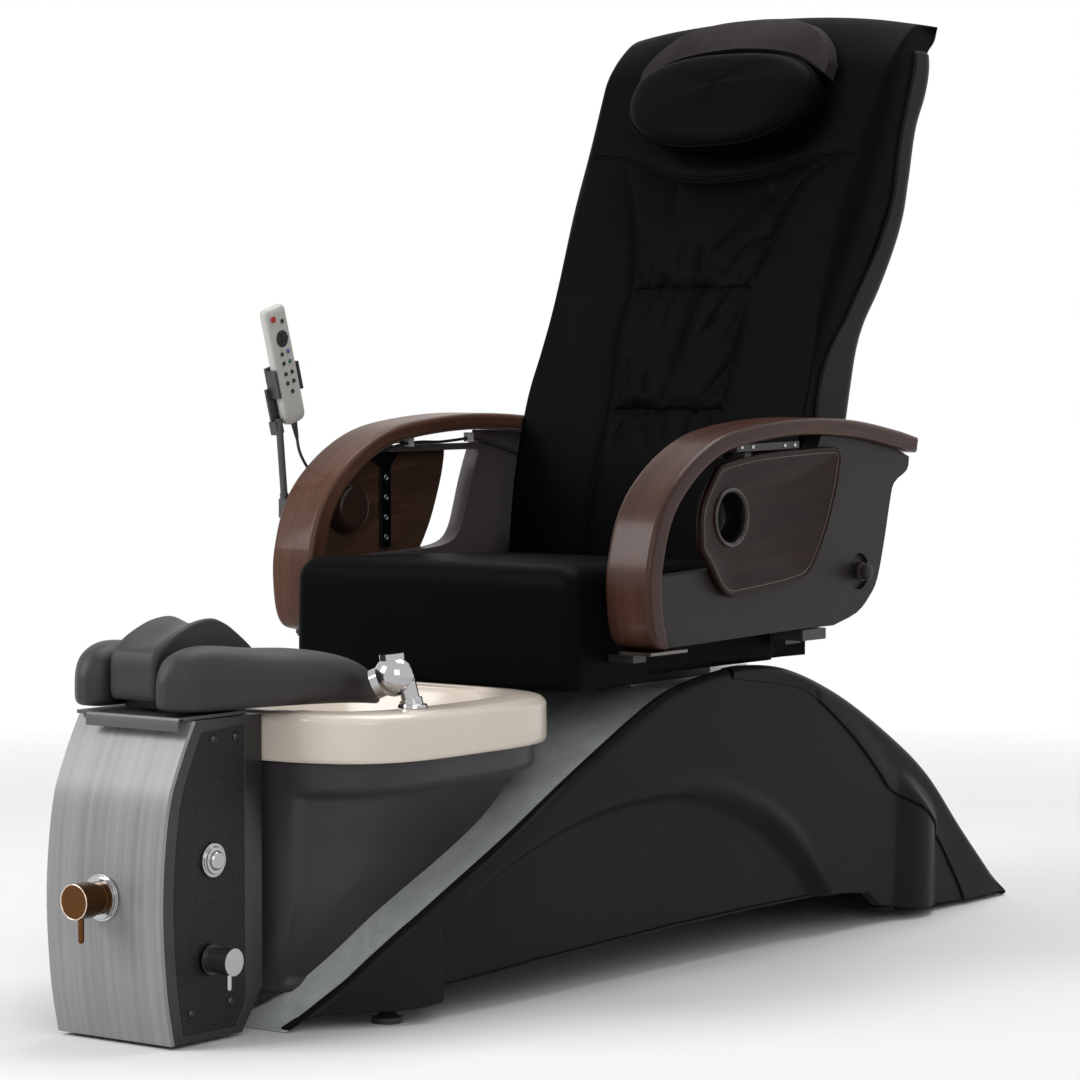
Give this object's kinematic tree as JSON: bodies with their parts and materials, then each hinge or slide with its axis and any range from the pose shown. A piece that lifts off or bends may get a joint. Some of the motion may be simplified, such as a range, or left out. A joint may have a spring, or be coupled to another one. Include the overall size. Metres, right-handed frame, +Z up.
{
  "type": "pedicure spa chair",
  "caption": "Pedicure spa chair with an arched base, a foot basin with a tap tower and foot pads, and a sliding, reclining massage seat with curved arms and fold-out trays.",
  "frame": {"origin": "on the floor, under the middle of the chair's overall box", "axes": "X to the sitter's left, Y from the foot basin towards the back, Z up"},
  "size_m": [0.698, 1.882, 1.394],
  "materials": {
    "base_black": "satin",
    "tower_black": "pebbled",
    "ramp_grey": "gloss, mottled",
    "front_grey": "satin wood grain",
    "cream": "gloss",
    "chrome": "polished",
    "steel": "brushed",
    "frame_black": "satin",
    "foam_grey": "soft matte",
    "rubber_black": "matte",
    "upholstery": "soft sheen",
    "strap_grey": "woven",
    "shell_brown": "satin",
    "walnut": "gloss lacquer",
    "tray_red": "gloss lacquer",
    "cup_black": "gloss",
    "handset_white": "satin",
    "key_red": "satin",
    "key_dark": "matte",
    "clip_white": "satin",
    "holder_grey": "satin"
  },
  "bodies": {
    "base": {"base_frame": "frame_black", "side_panel_left": "base_black", "side_panel_right": "base_black", "ramp_cover": "ramp_grey", "rear_cover": "base_black", "levelling_feet": "frame_black", "tub_shell": "base_black", "basin": "cream", "drain_strainer": "chrome", "jet_pump": "cup_black", "tower_body": "tower_black", "front_panel": "front_grey", "tower_side_left": "tower_black", "tower_side_right": "tower_black", "panel_screws": "chrome", "mixer_escutcheon": "chrome", "mixer_valve": "steel", "button_bezel": "chrome", "diverter_collar": "chrome", "sprayer_socket": "chrome", "footrest_plate": "steel", "footrest_pin": "steel", "footrest_bridge": "foam_grey", "seat_rails": "steel"},
    "impeller": {"jet_impeller": "steel"},
    "mixer_lever": {"mixer_handle": "chrome"},
    "air_button": {"jet_button": "chrome"},
    "diverter": {"diverter_handle": "chrome"},
    "sprayer": {"sprayer_head": "chrome"},
    "left_foot_pad": {"footrest_pad_left": "foam_grey"},
    "right_foot_pad": {"footrest_pad_right": "foam_grey"},
    "carriage": {"seat_carriage": "frame_black", "seat_pan": "frame_black", "seat_cushion": "upholstery", "seat_skirt": "upholstery", "actuator_body": "frame_black"},
    "rod": {"actuator_rod": "steel"},
    "back": {"back_frame": "frame_black", "back_shell": "shell_brown", "back_cushion": "upholstery", "head_pillow": "upholstery", "head_band": "strap_grey", "massage_rails": "steel"},
    "massage": {"massage_carriage": "frame_black"},
    "rollers": {"massage_rollers": "rubber_black"},
    "left_arm": {"arm_left": "walnut", "arm_panel_left": "shell_brown"},
    "left_table": {"tray_left": "tray_red", "cup_insert_left": "cup_black"},
    "right_arm": {"arm_right": "walnut", "arm_panel_right": "shell_brown", "remote_holder": "holder_grey", "handset_cord": "rubber_black", "cord_clips": "clip_white"},
    "right_table": {"tray_right": "tray_red", "cup_insert_right": "cup_black"},
    "remote": {"handset": "handset_white", "keypad": "key_dark"},
    "power_button": {"power_key": "key_red"},
    "arrow_pad": {"direction_pad": "key_dark"}
  },
  "joints": [
    {"name": "seat_slide", "type": "slide", "parent": "base", "child": "carriage", "axis": [0, 1, 0], "range_m": [0, 0.11]},
    {"name": "back_recline", "type": "hinge", "parent": "carriage", "child": "back", "pos_m": [0, 0.345, 0.5], "axis": [-1, 0, 0], "range_deg": [-8, 25]},
    {"name": "actuator_extend", "type": "slide", "parent": "carriage", "child": "rod", "axis": [0, 1, 0], "range_m": [-0.0235, 0.0078]},
    {"name": "massage_lift", "type": "slide", "parent": "back", "child": "massage", "axis": [0, 0.3972, 0.9178], "range_m": [0, 0.25]},
    {"name": "roller_spin", "type": "hinge", "parent": "massage", "child": "rollers", "pos_m": [0, 0.4635, 0.82848], "axis": [1, 0, 0], "continuous": true},
    {"name": "left_arm_lift", "type": "hinge", "parent": "carriage", "child": "left_arm", "pos_m": [0.3, 0.4, 0.55], "axis": [-1, 0, 0], "range_deg": [0, 60]},
    {"name": "right_arm_lift", "type": "hinge", "parent": "carriage", "child": "right_arm", "pos_m": [-0.3, 0.4, 0.55], "axis": [-1, 0, 0], "range_deg": [0, 60]},
    {"name": "left_table_flip", "type": "hinge", "parent": "left_arm", "child": "left_table", "pos_m": [0.329, 0.14, 0.731], "axis": [0, -1, 0], "range_deg": [0, 90]},
    {"name": "right_table_flip", "type": "hinge", "parent": "right_arm", "child": "right_table", "pos_m": [-0.329, 0.14, 0.731], "axis": [0, 1, 0], "range_deg": [0, 90]},
    {"name": "left_foot_pad_tilt", "type": "hinge", "parent": "base", "child": "left_foot_pad", "pos_m": [0.07, -0.838, 0.438], "axis": [1, 0, 0], "range_deg": [0, 60]},
    {"name": "right_foot_pad_tilt", "type": "hinge", "parent": "base", "child": "right_foot_pad", "pos_m": [-0.07, -0.838, 0.438], "axis": [1, 0, 0], "range_deg": [0, 60]},
    {"name": "mixer_turn", "type": "hinge", "parent": "base", "child": "mixer_lever", "pos_m": [0, -0.9, 0.188], "axis": [0, -1, 0], "range_deg": [-55, 55]},
    {"name": "diverter_turn", "type": "hinge", "parent": "base", "child": "diverter", "pos_m": [0.1, -0.796, 0.107], "axis": [1, 0, 0], "range_deg": [0, 90]},
    {"name": "air_button_press", "type": "slide", "parent": "base", "child": "air_button", "axis": [-1, 0, 0], "range_m": [0, 0.004], "stiffness_N_per_m": 500, "springref_m": -0.003},
    {"name": "sprayer_lift", "type": "slide", "parent": "base", "child": "sprayer", "axis": [-0.2193, -0.1022, 0.9703], "range_m": [0, 0.05]},
    {"name": "impeller_spin", "type": "hinge", "parent": "base", "child": "impeller", "pos_m": [0, -0.33, 0.262], "axis": [0, -0.8387, 0.5446], "continuous": true},
    {"name": "handset_lift", "type": "slide", "parent": "right_arm", "child": "remote", "axis": [0, -0.284, 0.9588], "range_m": [0, 0.06]},
    {"name": "power_key_press", "type": "slide", "parent": "remote", "child": "power_button", "axis": [-1, 0, 0], "range_m": [0, 0.0008], "stiffness_N_per_m": 400, "springref_m": -0.001},
    {"name": "arrow_pad_press", "type": "slide", "parent": "remote", "child": "arrow_pad", "axis": [-1, 0, 0], "range_m": [0, 0.0008], "stiffness_N_per_m": 500, "springref_m": -0.001}
  ],
  "couplings": [
    {"joint": "actuator_extend", "follows": "back_recline", "m_per_rad": -0.0523}
  ]
}
